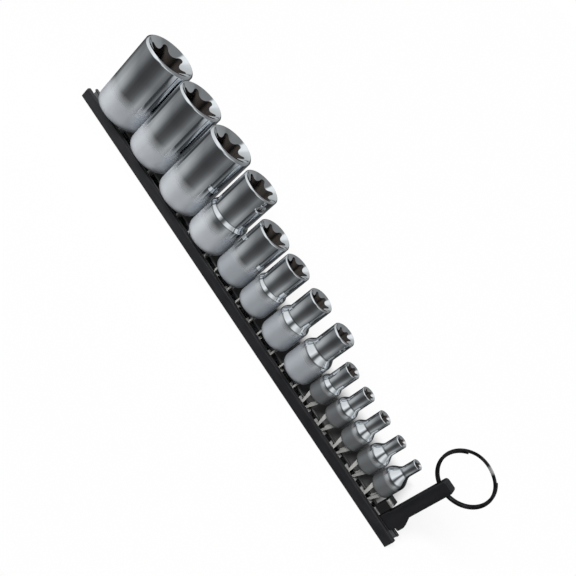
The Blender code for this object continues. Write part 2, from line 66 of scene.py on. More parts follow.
# Sockets: points round each loop, steps up each shoulder, and lobes
TURN_POINTS = 144
SHOULDER_STEPS = 16
LOBES = 6

# Each drive's satin_tone darkens from the half-inch to the quarter-inch drive: partly the
# finish, partly painted shade for light falling off along the set
DRIVES = {
    "half": {
        "square": 12.7 * MM, "square_depth": 15.0 * MM, "corner_wall": 2.9 * MM,
        "length": 43.9 * MM, "barrel_height": 19.4 * MM, "post_height": 11.0 * MM,
        "strip": 1.0 * MM, "strip_width": 7.6 * MM, "hole_diameter": 4.0 * MM,
        "collar_height": 4.7 * MM, "base_rise": 4.4 * MM, "collar_low": 7.5 * MM,
        "collar_high": 7.5 * MM, "satin_top": 14.4 * MM, "satin_fade": 3.0 * MM,
        "satin_tone": (0.67, 0.70, 0.74),
    },
    "three_eighths": {
        "square": 9.53 * MM, "square_depth": 11.0 * MM, "corner_wall": 2.36 * MM,
        "length": 34.3 * MM, "barrel_height": 15.6 * MM, "post_height": 8.4 * MM,
        "strip": 0.9 * MM, "strip_width": 5.8 * MM, "hole_diameter": 3.2 * MM,
        "collar_height": 5.5 * MM, "base_rise": 3.4 * MM, "collar_low": 5.97 * MM,
        "collar_high": 5.97 * MM, "satin_top": 14.0 * MM, "satin_fade": 2.2 * MM,
        "satin_tone": (0.46, 0.49, 0.53),
    },
    "quarter": {
        "square": 6.35 * MM, "square_depth": 8.0 * MM, "corner_wall": 1.6 * MM,
        "length": 24.1 * MM, "barrel_height": 9.9 * MM, "post_height": 5.8 * MM,
        "strip": 0.7 * MM, "strip_width": 4.0 * MM, "hole_diameter": 2.2 * MM,
        "collar_height": 8.1 * MM, "base_rise": 1.9 * MM, "collar_low": 1.9 * MM,
        "collar_high": 3.7 * MM, "satin_top": 8.7 * MM, "satin_fade": 1.2 * MM,
        "satin_tone": (0.16, 0.168, 0.175),
    },
}
SOCKETS = {
    "e24": {"drive": "half", "star": 22.1 * MM, "wall": 3.65 * MM},
    "e22": {"drive": "half", "star": 20.3 * MM, "wall": 3.0 * MM},
    "e20": {"drive": "half", "star": 18.5 * MM, "wall": 3.8 * MM},
    "e18": {"drive": "half", "star": 16.7 * MM, "wall": 2.3 * MM},
    "e16": {"drive": "three_eighths", "star": 14.8 * MM, "wall": 2.3 * MM},
    "e14": {"drive": "three_eighths", "star": 12.9 * MM, "wall": 1.6 * MM},
    "e12": {"drive": "three_eighths", "star": 11.2 * MM, "wall": 1.7 * MM},
    "e10": {"drive": "three_eighths", "star": 9.4 * MM, "wall": 2.05 * MM},
    "e8": {"drive": "quarter", "star": 7.5 * MM, "wall": 1.05 * MM},
    "e7": {"drive": "quarter", "star": 6.2 * MM, "wall": 1.0 * MM},
    "e6": {"drive": "quarter", "star": 5.7 * MM, "wall": 1.05 * MM},
    "e5": {"drive": "quarter", "star": 4.75 * MM, "wall": 1.0 * MM},
    "e4": {"drive": "quarter", "star": 3.9 * MM, "wall": 0.9 * MM},
}

# A socket's two materials
PLATED, RAW = range(2)

# How a socket's base, crown and shoulder are rounded, from the drive end to the tip
BASE_FLAT = 0.3 * MM
BASE_STEPS = 10
CROWN_WALL_SHARE = 0.32
CROWN_STEPS = 12
CROWN_POWER = 1.6
SHOULDER_RISE_SHARE = 2.1
SHOULDER_LAND = 0.6 * MM

# What is cut into a socket. One has a lobe towards X, and the others a tooth.
# The cross hole is at the back, where Y is above 0.
LOBE_SOCKET = "e18"
STAR_TURN = math.radians(30.0)
HOLE_SIDE = 1
DRIVE_LEAD_IN = 0.5 * MM
BORE_RISE = 1.0 * MM
LOBE_RADIUS_SHARE = 0.083
ROOT_SHARE = 0.715
STAR_DEPTH_SHARE = 0.72
SINK_SLOPE = math.tan(math.radians(30.0))
BORE_SHARE = 0.52
HOLE_STEPS = 32

# Rail and the strips of spring steel
RAIL_WIDTH = 8.4 * MM
RAIL_HEIGHT = 6.3 * MM
RAIL_WALL = 0.9 * MM
RAIL_BEND_RADIUS = 0.9 * MM
SLOT_WIDTH = 4.2 * MM
RAIL_BEND_STEPS = 8
STRIP_BEND_STEPS = 7
CLIP_BEND_RADIUS = 1.0 * MM
FOOT_LENGTH = 2.6 * MM
FOOT_TAB = 1.2 * MM
POST_SIDE_PLAY = 0.65 * MM
DETENT_BULGE = 0.35 * MM
CHEEK_LOW = 0.9 * MM
CHEEK_HIGH = 1.7 * MM
CHEEK_LEAN = 0.8 * MM
STOP_LENGTH = 4.2 * MM
STOP_ACROSS = 6.0 * MM
STOP_STRIP = 0.7 * MM
STOP_BEND_RADIUS = 0.5 * MM
# Painted highlights along the stop's front folds: their heights, depths and reaches
STOP_GLINT_HIGH = 15.9 * MM
STOP_GLINT_LOW = 7.2 * MM
STOP_GLINT_DEPTH = (0.6 * MM, 1.6 * MM)
STOP_GLINT_REACH = (0.6 * MM, 1.0 * MM)

# Hanger
BLOCK_LENGTH = 10.4 * MM
BLOCK_HEIGHT = 6.2 * MM
UNDERCUT_LENGTH = 1.9 * MM
UNDERCUT_HEIGHT = 3.4 * MM
GUSSET_LAND = 0.9 * MM
GUSSET_HEIGHT = 6.0 * MM
BAR_WIDTH = 6.9 * MM
BAR_THICKNESS = 5.4 * MM
BAR_HEIGHT = 40.0 * MM
BAR_TIP_RADIUS = 1.5 * MM
BAR_TIP_STEPS = 12
BAR_EDGE_RADIUS = 0.8 * MM
BAR_EDGE_STEPS = 5
BAR_SETBACK = 0.55 * MM
HANGER_FOOT_LENGTH = 4.8 * MM
FOOT_THICKNESS = 2.2 * MM
EYE_DIAMETER = 3.6 * MM
EYE_STEPS = 48
EYE_TO_TIP = 4.4 * MM

# Split ring
RING_MEAN_RADIUS = 13.6 * MM
RING_WIRE_WIDTH = 1.6 * MM
RING_WIRE_THICKNESS = 0.8 * MM
RING_COIL_GAP = 0.5 * MM
RING_TILT = math.radians(7.0)
RING_SHIFT = 0.7 * MM
RING_TURN_STEPS = 120
# A painted highlight: a bright spot on the ring, at this angle and reach
RING_GLINT_ANGLE = math.radians(173.0)
RING_GLINT_REACH = 2.6 * MM
RING_CLIMB_ANGLE = math.radians(60.0)
RING_END_GAP_ANGLE = math.radians(10.0)
RING_STEP_ANGLE = math.radians(6.0)
RING_SIDE_STEPS = 20
RING_SQUARENESS = 3.2

# Materials: a noise is (scale, detail, scale of each axis), and a low scale draws it
# out. A pair of tones or roughnesses is for the noise's low and high ends.
EVEN = (1.0, 1.0, 1.0)
NOISE_RANGE = (0.3, 0.7)
BUMP_DEPTH = 0.02 * MM

PLATE_LINES = (900.0, 2.0, (0.06, 0.06, 6.0))
PLATE_SMEARS = (160.0, 4.0, (1.0, 1.0, 0.35))
PLATE_GRAIN = (5200.0, 2.0, EVEN)
PLATE_CLOUD = (95.0, 2.0, EVEN)
PLATE_STOPS = (0.32, 0.68)
BRIGHT_TONES = ((0.74, 0.76, 0.78), (0.83, 0.85, 0.87))
BRIGHT_ROUGHNESS = (0.045, 0.085)
BRIGHT_RELIEF = 0.16
SATIN_METALLIC = 0.5
SATIN_ROUGHNESS = (0.32, 0.42)
SATIN_SHADE = 0.88
PLATE_GRAIN_SHARE = 0.35
PLATE_BUMP = 0.3

# The grain's third part is its look's stretch
STEEL_GRAIN = (2600.0, 3.0)
STEEL_STAINS = (240.0, 4.0, EVEN)
STAIN_SHADE = 0.72
STEEL_SMOOTHER = 0.08
STEEL_ROUGHER = 0.1
STEEL_BUMP = 0.25
# The recess steel is far darker than the other bare steel: partly its dull finish, partly
# painted shade in the socket's hollows
RECESS_LOOK = {
    "metallic": 0.5, "tone": (0.075, 0.066, 0.06), "roughness": 0.5,
    "stretch": (1.0, 1.0, 0.15),
}
SPRING_LOOK = {
    "metallic": 0.35, "tone": (0.48, 0.48, 0.46), "roughness": 0.36,
    "stretch": (0.2, 1.0, 1.0),
}
CHANNEL_LOOK = {
    "metallic": 1.0, "tone": (0.42, 0.42, 0.42), "roughness": 0.45,
    "stretch": (0.1, 1.0, 1.0),
}

STOP_METALLIC = 0.6
STOP_WEAR = (900.0, 3.0, EVEN)
STOP_GRAIN = (3000.0, 2.0, (1.0, 0.2, 1.0))
# The stop's painted highlights: the noise range that breaks them up, and their share
STOP_GLINT_NOISE_RANGE = (0.3, 0.6)
STOP_GLINT_SHARE = (0.5, 1.0)
STOP_DARK = (0.02, 0.02, 0.02, 1.0)
# The colour of the stop's painted highlights
STOP_PAINTED_GLINT = (0.42, 0.42, 0.40, 1.0)
STOP_ROUGHNESS = (0.32, 0.46)
STOP_BUMP = 0.2

PAINT_PEEL = (1500.0, 3.0, EVEN)
PAINT_DUST = (220.0, 5.0, (0.35, 1.0, 1.0))
PAINT_SPECKS = (3800.0, 2.0, EVEN)
PAINT_TONES = ((0.007, 0.007, 0.008), (0.015, 0.015, 0.017))
PAINT_ROUGHNESS = (0.38, 0.52)
PAINT_BUMP = 0.3
PAINT_BUMP_DEPTH = 0.03 * MM
# A lighter grey line along the slot's edges, on top of the lips
LIP_LINE_REACH = 0.5 * MM
LIP_LINE_DEPTH = 0.4 * MM
LIP_LINE_RANGE = (0.4, 0.62)
LIP_LINE_SHARE = 0.8
CHIP_RANGE = (0.74, 0.8)
CHIP_SHARE = 0.35
CHIP_AND_LIP_GREY = (0.16, 0.16, 0.16, 1.0)

PLASTIC_FLOW = (170.0, 3.0, (1.0, 1.0, 0.25))
PLASTIC_PEBBLES = 2600.0
PLASTIC_TONES = ((0.004, 0.004, 0.005), (0.010, 0.010, 0.011))
PLASTIC_ROUGHNESS = (0.4, 0.55)
PLASTIC_BUMP = 0.22
PLASTIC_BUMP_DEPTH = 0.04 * MM

RING_METALLIC = 0.85
RING_RUB = (320.0, 4.0, EVEN)
RING_GRAIN = (3000.0, 2.0, EVEN)
RING_STOPS = (0.42, 0.75)
RING_TONES = ((0.022, 0.022, 0.024), (0.075, 0.075, 0.08))
# The colour of the ring's painted highlight
RING_PAINTED_GLINT = (0.85, 0.85, 0.85, 1.0)
RING_ROUGHNESS = (0.24, 0.38)
RING_BUMP = 0.15

# Camera: where the photograph was taken from
CAMERA_AT = (66.06 * MM, -324.09 * MM, 205.13 * MM)
CAMERA_RIGHT = (0.56125, 0.45754, 0.68988)
CAMERA_DOWN = (0.81444, -0.15606, -0.55908)
CAMERA_FORWARD = (-0.14811, 0.87565, -0.46011)
LENS = 47.332
SENSOR = 36.0
NEAR_CLIP = 10.0 * MM
WHITE = (1.0, 1.0, 1.0, 1.0)

# Studio: what metal reflects, in rings of (degrees round Z, brightness). A ring gives
# way to the next one up over a range of the direction's height, where 1 is straight up.
LOW_SIDES = (
    (-180, 0.37), (-165, 0.42), (-150, 0.52), (-132, 0.45), (-120, 0.32), (-106, 0.14),
    (-92, 0.08), (-76, 0.09), (-62, 0.13), (-48, 0.24), (-34, 0.42), (-22, 0.34),
    (-10, 0.22), (4, 0.09), (20, 0.03), (42, 0.03), (58, 0.06), (74, 0.14), (92, 0.12),
    (120, 0.05), (145, 0.05), (166, 0.18), (180, 0.37),
)
HIGH_SIDES = (
    (-180, 0.8), (-140, 0.85), (-108, 1.0), (-96, 0.5), (-84, 0.08), (-72, 0.15), (-58, 0.8),
    (-40, 0.9), (-20, 0.55), (10, 0.2), (60, 0.28), (100, 0.36), (140, 0.55), (180, 0.8),
)
TOP_SIDES = (
    (-180, 1.0), (-95, 1.0), (-70, 0.7), (-30, 0.3), (60, 0.2), (110, 0.3), (150, 0.9),
    (180, 1.0),
)
ZENITH = (0.24, 0.24, 0.24, 1.0)
HORIZON = (0.03, 0.03, 0.033, 1.0)
HORIZON_SHARE = 0.55
HORIZON_FROM = (-0.36, -0.22)
HIGH_FROM = (0.05, 0.25)
TOP_FROM = (0.72, 0.82)
ZENITH_FROM = (0.94, 0.97)
STUDIO_TINT = (0.95, 0.985, 1.0, 1.0)
DIFFUSE_WORLD = 0.06
SUN_TURN = math.radians(-111.0)
SUN_RISE = math.radians(37.0)
SUN_SPREAD = math.radians(24.0)
SUN_POWER = 4.9
FLOOR_SIZE = 60.0
FLOOR_BOUNCE = 0.12
FLOOR_DROP = 0.02 * MM
FLOOR_TONE = 0.96
FLOOR_GLOW = 0.85

# The floor's darker patch behind the rail: each edge fades between two places
SHADE_TONE = 0.16
SHADE_MIDDLE = -4.0 * MM
SHADE_ALONG = (125.0 * MM, 137.0 * MM)
SHADE_FRONT = (-4.0 * MM, 0.0)
SHADE_BACK = (40.0 * MM, 58.0 * MM)


class Tree:
    """A short way to add and link shader nodes."""

    def __init__(self, tree):
        self.nodes = tree.nodes
        self.links = tree.links

    def add(self, kind, inputs=None, **settings):
        node = self.nodes.new(kind)
        for name, value in settings.items():
            setattr(node, name, value)
        for name, value in (inputs or {}).items():
            if isinstance(value, bpy.types.NodeSocket):
                self.links.new(value, node.inputs[name])
            else:
                node.inputs[name].default_value = value
        return node

    def math(self, operation, first, second=0.0):
        node = self.add("ShaderNodeMath", {0: first, 1: second}, operation=operation)
        return node.outputs[0]

    def ramp(self, factor, places, tones):
        """Places rise from 0 to 1, and a tone is a brightness or a colour."""
        node = self.add("ShaderNodeValToRGB", {"Fac": factor})
        elements = node.color_ramp.elements
        while len(elements) < len(places):
            elements.new(1.0)
        for element, place, tone in zip(elements, places, tones):
            colour = tone if isinstance(tone, tuple) else (tone, tone, tone)
            element.position = place
            element.color = (*colour, 1.0)
        return node.outputs["Color"]

    def span(self, value, low, high, to_low, to_high):
        node = self.add("ShaderNodeMapRange", {
            "Value": value, "From Min": low, "From Max": high,
            "To Min": to_low, "To Max": to_high,
        })
        return node.outputs["Result"]

    def noise(self, vector, scale, detail, stretch):
        mapped = self.add("ShaderNodeMapping", {"Vector": vector, "Scale": stretch})
        node = self.add("ShaderNodeTexNoise", {
            "Vector": mapped.outputs["Vector"], "Scale": scale, "Detail": detail,
        })
        return node.outputs["Fac"]

    def mix(self, factor, first, second, blend="MIX"):
        """Mix two colours, which are inputs 6 and 7 of the node."""
        node = self.add("ShaderNodeMix", {0: factor, 6: first, 7: second},
                        data_type="RGBA", blend_type=blend)
        return node.outputs[2]

    def mix_values(self, factor, first, second):
        """Mix two values, which are inputs 2 and 3 of the node."""
        node = self.add("ShaderNodeMix", {0: factor, 2: first, 3: second})
        return node.outputs[0]

    def bump(self, height, strength, distance):
        node = self.add("ShaderNodeBump", {
            "Height": height, "Strength": strength, "Distance": distance,
        })
        return node.outputs["Normal"]


def new_material(name, metallic):
    """A material's tree, its shader and its object coordinates."""
    material = bpy.data.materials.new(name)
    material.use_nodes = True
    tree = Tree(material.node_tree)
    shader = material.node_tree.nodes["Principled BSDF"]
    shader.inputs["Metallic"].default_value = metallic
    coords = tree.add("ShaderNodeTexCoord").outputs["Object"]
    return material, tree, shader, coords


def dress(tree, shader, colour, roughness, normal):
    tree.links.new(colour, shader.inputs["Base Color"])
    tree.links.new(roughness, shader.inputs["Roughness"])
    tree.links.new(normal, shader.inputs["Normal"])


def plating(name, drive):
    """Bright plating that turns satin, by a soft edge, over the drive end."""
    material, tree, shader, coords = new_material(name, 1.0)
    lines = tree.noise(coords, *PLATE_LINES)
    smears = tree.noise(coords, *PLATE_SMEARS)
    grain = tree.noise(coords, *PLATE_GRAIN)
    cloud = tree.noise(coords, *PLATE_CLOUD)
    place = tree.add("ShaderNodeSeparateXYZ", {"Vector": coords})
    base = RAIL_HEIGHT + drive["collar_height"]
    fade = drive["satin_fade"]
    edge = tree.math("ADD", place.outputs["Z"], tree.math("MULTIPLY", cloud, fade))
    middle = base + drive["satin_top"] + fade / 2
    satin = tree.span(edge, middle - fade, middle + fade, 1.0, 0.0)
    bright = tree.ramp(smears, PLATE_STOPS, BRIGHT_TONES)
    tone = drive["satin_tone"]
    shaded = tuple(part * SATIN_SHADE for part in tone)
    dull = tree.ramp(smears, PLATE_STOPS, (shaded, tone))
    colour = tree.mix(satin, bright, dull)
    sheen = tree.span(smears, *NOISE_RANGE, *BRIGHT_ROUGHNESS)
    rough = tree.span(smears, *NOISE_RANGE, *SATIN_ROUGHNESS)
    rough = tree.mix_values(satin, sheen, rough)
    metallic = tree.span(satin, 0.0, 1.0, 1.0, SATIN_METALLIC)
    tree.links.new(metallic, shader.inputs["Metallic"])
    height = tree.math("ADD", lines, tree.math("MULTIPLY", grain, PLATE_GRAIN_SHARE))
    relief = tree.span(satin, 0.0, 1.0, BRIGHT_RELIEF, 1.0)
    normal = tree.bump(tree.math("MULTIPLY", height, relief), PLATE_BUMP, BUMP_DEPTH)
    dress(tree, shader, colour, rough, normal)
    return material


def raw_steel(name, look):
    """Unplated steel with grain drawn out along its strip or its bore."""
    material, tree, shader, coords = new_material(name, look["metallic"])
    grain = tree.noise(coords, *STEEL_GRAIN, look["stretch"])
    stains = tree.noise(coords, *STEEL_STAINS)
    tone = look["tone"]
    dark = tuple(part * STAIN_SHADE for part in tone)
    colour = tree.ramp(stains, NOISE_RANGE, (dark, tone))
    rough = tree.span(grain, *NOISE_RANGE, look["roughness"] - STEEL_SMOOTHER,
                      look["roughness"] + STEEL_ROUGHER)
    normal = tree.bump(grain, STEEL_BUMP, BUMP_DEPTH)
    dress(tree, shader, colour, rough, normal)
    return material


def stop_steel():
    """Black oxide on the stop, with highlights painted bright along its front folds."""
    material, tree, shader, coords = new_material("stop_black_oxide", STOP_METALLIC)
    wear = tree.noise(coords, *STOP_WEAR)
    grain = tree.noise(coords, *STOP_GRAIN)
    place = tree.add("ShaderNodeSeparateXYZ", {"Vector": coords})
    # Painted highlights: bright bands along the front of the top fold and of the low fold
    start, end = (depth - STOP_ACROSS / 2 for depth in STOP_GLINT_DEPTH)
    front = tree.span(place.outputs["Y"], start, end, 1.0, 0.0)
    up = place.outputs["Z"]
    upper = tree.math("ABSOLUTE", tree.math("SUBTRACT", up, STOP_GLINT_HIGH))
    lower = tree.math("ABSOLUTE", tree.math("SUBTRACT", up, STOP_GLINT_LOW))
    near = tree.span(tree.math("MINIMUM", upper, lower), *STOP_GLINT_REACH, 1.0, 0.0)
    lightened = tree.math("MULTIPLY", tree.math("MULTIPLY", front, near),
                       tree.span(wear, *STOP_GLINT_NOISE_RANGE, *STOP_GLINT_SHARE))
    colour = tree.mix(lightened, STOP_DARK, STOP_PAINTED_GLINT)
    rough = tree.span(wear, *NOISE_RANGE, *STOP_ROUGHNESS)
    normal = tree.bump(grain, STOP_BUMP, BUMP_DEPTH)
    dress(tree, shader, colour, rough, normal)
    return material


def rail_paint():
    """Thin black paint: orange peel, dusty patches, chips, and lighter grey along the slot's
    edges on top.
    """
    material, tree, shader, coords = new_material("rail_black_paint", 0.0)
    peel = tree.noise(coords, *PAINT_PEEL)
    dust = tree.noise(coords, *PAINT_DUST)
    specks = tree.noise(coords, *PAINT_SPECKS)
    place = tree.add("ShaderNodeSeparateXYZ", {"Vector": coords})
    # Lighter grey along the slot's edges, on top of the lips
    lip = tree.math("ABSOLUTE", place.outputs["Y"])
    near_slot = tree.span(lip, SLOT_WIDTH / 2, SLOT_WIDTH / 2 + LIP_LINE_REACH, 1.0, 0.0)
    on_top = tree.span(place.outputs["Z"], RAIL_HEIGHT - LIP_LINE_DEPTH, RAIL_HEIGHT, 0.0, 1.0)
    lightened = tree.math("MULTIPLY", near_slot, on_top)
    lightened = tree.math("MULTIPLY", lightened,
                       tree.span(dust, *LIP_LINE_RANGE, 0.0, LIP_LINE_SHARE))
    paint = tree.ramp(dust, NOISE_RANGE, PAINT_TONES)
    chipped = tree.span(specks, *CHIP_RANGE, 0.0, CHIP_SHARE)
    chips_and_lip_line = tree.math("MAXIMUM", lightened, chipped)
    colour = tree.mix(chips_and_lip_line, paint, CHIP_AND_LIP_GREY)
    rough = tree.span(peel, *NOISE_RANGE, *PAINT_ROUGHNESS)
    normal = tree.bump(peel, PAINT_BUMP, PAINT_BUMP_DEPTH)
    dress(tree, shader, colour, rough, normal)
    return material


def moulded_plastic():
    """Black moulded plastic with a fine pebbled grain and faint flow marks."""
    material, tree, shader, coords = new_material("hanger_black_plastic", 0.0)
    flow = tree.noise(coords, *PLASTIC_FLOW)
    pebble = tree.add("ShaderNodeTexVoronoi", {"Vector": coords, "Scale": PLASTIC_PEBBLES})
    colour = tree.ramp(flow, NOISE_RANGE, PLASTIC_TONES)
    rough = tree.span(flow, *NOISE_RANGE, *PLASTIC_ROUGHNESS)
    normal = tree.bump(pebble.outputs["Distance"], PLASTIC_BUMP, PLASTIC_BUMP_DEPTH)
    dress(tree, shader, colour, rough, normal)
    return material


def ring_steel():
    """Dark nickel over spring wire, with one spot on it painted bright as a highlight."""
    material, tree, shader, coords = new_material("ring_dark_nickel", RING_METALLIC)
    rub = tree.noise(coords, *RING_RUB)
    grain = tree.noise(coords, *RING_GRAIN)
    colour = tree.ramp(rub, RING_STOPS, RING_TONES)
    # Painted highlight: the colour turns bright near one spot on the ring
    near = tree.add("ShaderNodeVectorMath", {0: coords, 1: ring_spot(RING_GLINT_ANGLE)},
                    operation="DISTANCE")
    lightened = tree.span(near.outputs["Value"], RING_GLINT_REACH / 2, RING_GLINT_REACH, 1.0, 0.0)
    colour = tree.mix(lightened, colour, RING_PAINTED_GLINT)
    rough = tree.span(rub, *NOISE_RANGE, *RING_ROUGHNESS)
    normal = tree.bump(grain, RING_BUMP, BUMP_DEPTH)
    dress(tree, shader, colour, rough, normal)
    return material


def object_from(name, mesh, materials):
    piece = bpy.data.objects.new(name, mesh)
    bpy.context.scene.collection.objects.link(piece)
    for material in materials:
        mesh.materials.append(material)
    return piece


def finish_mesh(shape, name):
    bmesh.ops.recalc_face_normals(shape, faces=shape.faces)
    mesh = bpy.data.meshes.new(name)
    shape.to_mesh(mesh)
    shape.free()
    return mesh


def smooth(mesh):
    """Smooth shading, but for edges sharper than SMOOTH_ANGLE."""
    mesh.shade_smooth()
    mesh.set_sharp_from_angle(angle=SMOOTH_ANGLE)


def settle(piece):
    """Apply the piece's modifiers and shade it smooth."""
    bpy.context.view_layer.update()
    evaluated = piece.evaluated_get(bpy.context.evaluated_depsgraph_get())
    mesh = bpy.data.meshes.new_from_object(evaluated)
    piece.modifiers.clear()
    piece.data = mesh
    smooth(mesh)
    return piece


def stand_for(piece, node):
    """Let the piece ride on its node's body and stand in the node's place."""
    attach(piece, body_of_node(node))
    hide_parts(node)


def body_of_node(node):
    for body, members in frame["record"]["behaviour"]["bodies"].items():
        if node in members:
            return body
    raise ValueError(node)


def middle_of(node):
    low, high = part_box(node)
    return (low + high) / 2


def arc(centre, radius, start, end, count):
    """count + 1 points on an arc, both ends included."""
    points = []
    for index in range(count + 1):
        angle = start + (end - start) * index / count
        points.append((centre[0] + radius * math.cos(angle),
                       centre[1] + radius * math.sin(angle)))
    return points


def star_outline(across):
    """Six round lobes joined by six round teeth, starting at a lobe's middle."""
    half_pitch = math.pi / LOBES
    lobe_radius = across * LOBE_RADIUS_SHARE
    lobe_centre = across / 2 - lobe_radius
    root = across * ROOT_SHARE / 2
    top = lobe_centre ** 2 + root ** 2 - 2 * lobe_centre * root * math.cos(half_pitch)
    bottom = 2 * (lobe_centre * math.cos(half_pitch) - root + lobe_radius)
    tooth_radius = (top - lobe_radius ** 2) / bottom
    tooth_centre = root + tooth_radius
    tooth_at = (tooth_centre * math.cos(half_pitch), tooth_centre * math.sin(half_pitch))
    contact = math.atan2(tooth_at[1], tooth_at[0] - lobe_centre)
    steps = TURN_POINTS // LOBES
    lobe = arc((lobe_centre, 0.0), lobe_radius, 0.0, contact, steps // 4)
    tooth_start = contact - math.pi
    tooth_end = 2 * half_pitch - tooth_start - 2 * math.pi
    tooth = arc(tooth_at, tooth_radius, tooth_start, tooth_end, steps // 2)
    next_lobe = arc((lobe_centre, 0.0), lobe_radius, -contact, 0.0, steps // 4)
    turn = Matrix.Rotation(2 * half_pitch, 2)
    next_lobe = [tuple(turn @ Vector(point)) for point in next_lobe]
    sixth = lobe + tooth[1:] + next_lobe[1:-1]
    outline = []
    for number in range(LOBES):
        turn = Matrix.Rotation(2 * half_pitch * number, 2)
        outline += [tuple(turn @ Vector(point)) for point in sixth]
    return outline


def turned_outline(outline, angle):
    turn = Matrix.Rotation(angle, 2)
    steps = round(angle / (2 * math.pi) * len(outline))
    turned = [tuple(turn @ Vector(point)) for point in outline]
    return turned[-steps:] + turned[:-steps]


def square_outline(side):
    """A square with a point in each corner and TURN_POINTS points in all."""
    outline = []
    for index in range(TURN_POINTS):
        angle = 2 * math.pi * index / TURN_POINTS
        reach = side / 2 / max(abs(math.cos(angle)), abs(math.sin(angle)))
        outline.append((reach * math.cos(angle), reach * math.sin(angle)))
    return outline


def circle_loop(radius, height):
    loop = []
    for index in range(TURN_POINTS):
        angle = 2 * math.pi * index / TURN_POINTS
        loop.append((radius * math.cos(angle), radius * math.sin(angle), height))
    return loop


def outline_loop(outline, height):
    return [(across, along, height) for across, along in outline]


def coned_loop(outline, least_radius, height_at):
    """The outline pushed out to a least radius, each point at its cone's height."""
    loop = []
    for across, along in outline:
        distance = math.hypot(across, along)
        radius = max(distance, least_radius)
        scale = radius / distance
        loop.append((across * scale, along * scale, height_at(radius)))
    return loop


def bridge(shape, low, high, slot=0):
    """Quads between two loops of equal counts."""
    for index in range(len(low)):
        after = (index + 1) % len(low)
        face = shape.faces.new((low[index], low[after], high[after], high[index]))
        face.material_index = slot


def tube(name, loops):
    """Loops of equal counts joined one after another, with both ends closed."""
    shape = bmesh.new()
    rows = [[shape.verts.new(point) for point in loop] for loop in loops]
    for low, high in zip(rows, rows[1:]):
        bridge(shape, low, high)
    shape.faces.new(rows[0])
    shape.faces.new(rows[-1])
    return finish_mesh(shape, name)


def sleeve(name, loops, slots):
    """Loops joined the same way, and the last to the first; slots are their materials."""
    shape = bmesh.new()
    rows = [[shape.verts.new(point) for point in loop] for loop in loops]
    for low, high, slot in zip(rows, rows[1:] + rows[:1], slots):
        bridge(shape, low, high, slot)
    return finish_mesh(shape, name)


def ribbon(name, rows):
    """One quad between each row of two points and the next."""
    shape = bmesh.new()
    rows = [[shape.verts.new(point) for point in row] for row in rows]
    for first, second in zip(rows, rows[1:]):
        shape.faces.new((first[0], first[1], second[1], second[0]))
    return finish_mesh(shape, name)


def cylinder_cutter(name, radius, depth, steps, matrix):
    shape = bmesh.new()
    bmesh.ops.create_cone(shape, cap_ends=True, segments=steps, radius1=radius,
                          radius2=radius, depth=depth, matrix=matrix)
    return object_from(name, finish_mesh(shape, name), [])


def combine(piece, other, operation):
    """Join the other shape to the piece, or cut it out, and delete the other."""
    modifier = piece.modifiers.new("combine", "BOOLEAN")
    modifier.operation = operation
    modifier.solver = "EXACT"
    modifier.object = other
    settle(piece)
    bpy.data.objects.remove(other, do_unlink=True)


def add_bevel(piece, name, width, steps, angle):
    """Round the edges where the faces turn by more than the angle."""
    bevel = piece.modifiers.new(name, "BEVEL")
    bevel.width = width
    bevel.segments = steps
    bevel.limit_method = "ANGLE"
    bevel.angle_limit = angle


def outer_profile(own, drive):
    """(radius, height) from the base's flat up to the tip's flat."""
    tip = own["star"] / 2 + own["wall"]
    barrel = max(tip, drive["square"] * math.sqrt(2) / 2 + drive["corner_wall"])
    length = drive["length"]
    crown = own["wall"] * CROWN_WALL_SHARE
    step = barrel - tip
    low = drive["barrel_height"]
    high = low + step * SHOULDER_RISE_SHARE + SHOULDER_LAND
    reach = drive["corner_wall"] - BASE_FLAT
    rise = drive["base_rise"]
    profile = []
    for index in range(BASE_STEPS + 1):
        angle = math.pi / 2 * index / BASE_STEPS
        profile.append((barrel - reach + reach * math.sin(angle),
                        rise - rise * math.cos(angle)))
    if step > 0.0:
        for index in range(SHOULDER_STEPS + 1):
            share = index / SHOULDER_STEPS
            ease = (1 - math.cos(math.pi * share)) / 2
            profile.append((barrel - step * ease, low + (high - low) * share))
    for index in range(CROWN_STEPS + 1):
        angle = math.pi / 2 * index / CROWN_STEPS
        profile.append((tip - crown + crown * max(math.cos(angle), 0.0) ** CROWN_POWER,
                        length - crown + crown * math.sin(angle) ** CROWN_POWER))
    return profile


def socket_mesh(name, own, drive, turned):
    """The whole socket as loops: up the outside, then down through its middle."""
    length = drive["length"]
    star = own["star"]
    depth = min(star * STAR_DEPTH_SHARE, length - drive["square_depth"] - BORE_RISE)
    outer = [(circle_loop(radius, height), PLATED)
             for radius, height in outer_profile(own, drive)]
    ridge = star / 2 + own["wall"] * (1 - CROWN_WALL_SHARE)
    outline = star_outline(star)
    if turned:
        outline = turned_outline(outline, STAR_TURN)

    def sunk(radius):
        return length - (ridge - radius) * SINK_SLOPE

    inner = [
        (coned_loop(outline, ridge - FINE_EDGE, lambda radius: length - FINE_EDGE / 4), PLATED),
        (coned_loop(outline, ridge - 2 * FINE_EDGE, sunk), PLATED),
        (coned_loop(outline, 0.0, sunk), RAW),
        (coned_loop(outline, 0.0, lambda radius: sunk(radius) - FINE_EDGE), RAW),
        (outline_loop(outline, length - depth), RAW),
    ]
    bore = min(star, drive["square"]) * BORE_SHARE / 2
    square = square_outline(drive["square"])
    mouth = drive["square"] / math.sqrt(2)
    inner += [
        (circle_loop(bore, length - depth), RAW),
        (circle_loop(bore, drive["square_depth"]), RAW),
        (outline_loop(square, drive["square_depth"]), RAW),
        (coned_loop(square, 0.0, lambda radius: DRIVE_LEAD_IN), RAW),
        (coned_loop(square, mouth - DRIVE_LEAD_IN, lambda radius: DRIVE_LEAD_IN), RAW),
        (circle_loop(mouth, 0.0), PLATED),
    ]
    loops, slots = zip(*outer, *inner)
    return sleeve(name, loops, slots)


